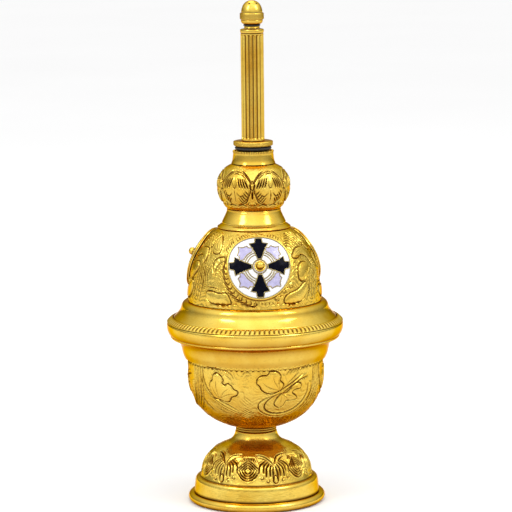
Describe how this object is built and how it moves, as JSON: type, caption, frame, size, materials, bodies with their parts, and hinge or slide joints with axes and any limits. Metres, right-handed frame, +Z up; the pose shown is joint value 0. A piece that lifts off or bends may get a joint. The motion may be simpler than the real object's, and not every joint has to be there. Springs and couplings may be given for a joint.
{
  "type": "rosewater sprinkler",
  "caption": "Footed gilt brass rosewater sprinkler on a censer body: chased bowl, lift-off domed cover with enamel cross medallions, lobed bulb, screwed fluted tube and acorn tip.",
  "frame": {"origin": "centre of the base ring's underside, on the surface that the vessel stands on", "axes": "+Z up along the axis that everything is turned about; -Y is the front, which one medallion faces"},
  "size_m": [0.0974, 0.0974, 0.2768],
  "materials": {
    "gilt_brass": "polished gilt, chased",
    "black_rubber": "matt",
    "white_enamel": "glossy vitreous enamel",
    "black_enamel": "glossy vitreous enamel"
  },
  "bodies": {
    "vessel": {"base_ring": "gilt_brass", "foot_shell": "gilt_brass", "stem_collar": "gilt_brass", "stem_bolt": "gilt_brass", "bolt_seal": "black_rubber", "stem_washer": "gilt_brass", "stem_nut": "gilt_brass", "bowl_shell": "gilt_brass", "bowl_gallery": "gilt_brass"},
    "cover": {"cover_skirt": "gilt_brass", "rim_trim": "gilt_brass", "cover_spigot": "gilt_brass", "spigot_seal": "black_rubber", "cover_dome": "gilt_brass", "dome_collar": "gilt_brass", "neck_cone": "gilt_brass", "bulb_shell": "gilt_brass", "bulb_collar": "gilt_brass", "neck_bush": "gilt_brass", "medallion_plate_front": "gilt_brass", "medallion_enamel_front": "white_enamel", "medallion_cross_front": "black_enamel", "medallion_boss_front": "gilt_brass", "boss_nut_front": "gilt_brass", "medallion_plate_right": "gilt_brass", "medallion_enamel_right": "white_enamel", "medallion_cross_right": "black_enamel", "medallion_boss_right": "gilt_brass", "boss_nut_right": "gilt_brass", "medallion_plate_left": "gilt_brass", "medallion_enamel_left": "white_enamel", "medallion_cross_left": "black_enamel", "medallion_boss_left": "gilt_brass", "boss_nut_left": "gilt_brass"},
    "neck_gasket": {"neck_gasket": "black_rubber"},
    "sprinkler_tube": {"tube_flange": "gilt_brass", "fluted_tube": "gilt_brass", "tube_cap": "gilt_brass", "tube_neck": "gilt_brass"},
    "tip_washer": {"tip_washer": "black_rubber"},
    "sprinkler_head": {"head_cup": "gilt_brass", "head_band": "gilt_brass", "head_dome": "gilt_brass"}
  },
  "joints": [
    {"name": "cover_lift", "type": "slide", "parent": "vessel", "child": "cover", "axis": [0, 0, 1], "range_m": [0, 0.08]},
    {"name": "tube_rise", "type": "slide", "parent": "cover", "child": "neck_gasket", "axis": [0, 0, 1], "range_m": [0, 0.0107]},
    {"name": "tube_turn", "type": "hinge", "parent": "neck_gasket", "child": "sprinkler_tube", "pos_m": [0, 0, 0.195], "axis": [0, 0, 1], "range_deg": [0, 1260]},
    {"name": "head_rise", "type": "slide", "parent": "sprinkler_tube", "child": "tip_washer", "axis": [0, 0, 1], "range_m": [0, 0.0051]},
    {"name": "head_turn", "type": "hinge", "parent": "tip_washer", "child": "sprinkler_head", "pos_m": [0, 0, 0.264], "axis": [0, 0, 1], "range_deg": [0, 1800]}
  ],
  "couplings": [
    {"joint": "tube_rise", "follows": "tube_turn", "m_per_rad": 0.00047746},
    {"joint": "head_rise", "follows": "head_turn", "m_per_rad": 0.00015915}
  ]
}
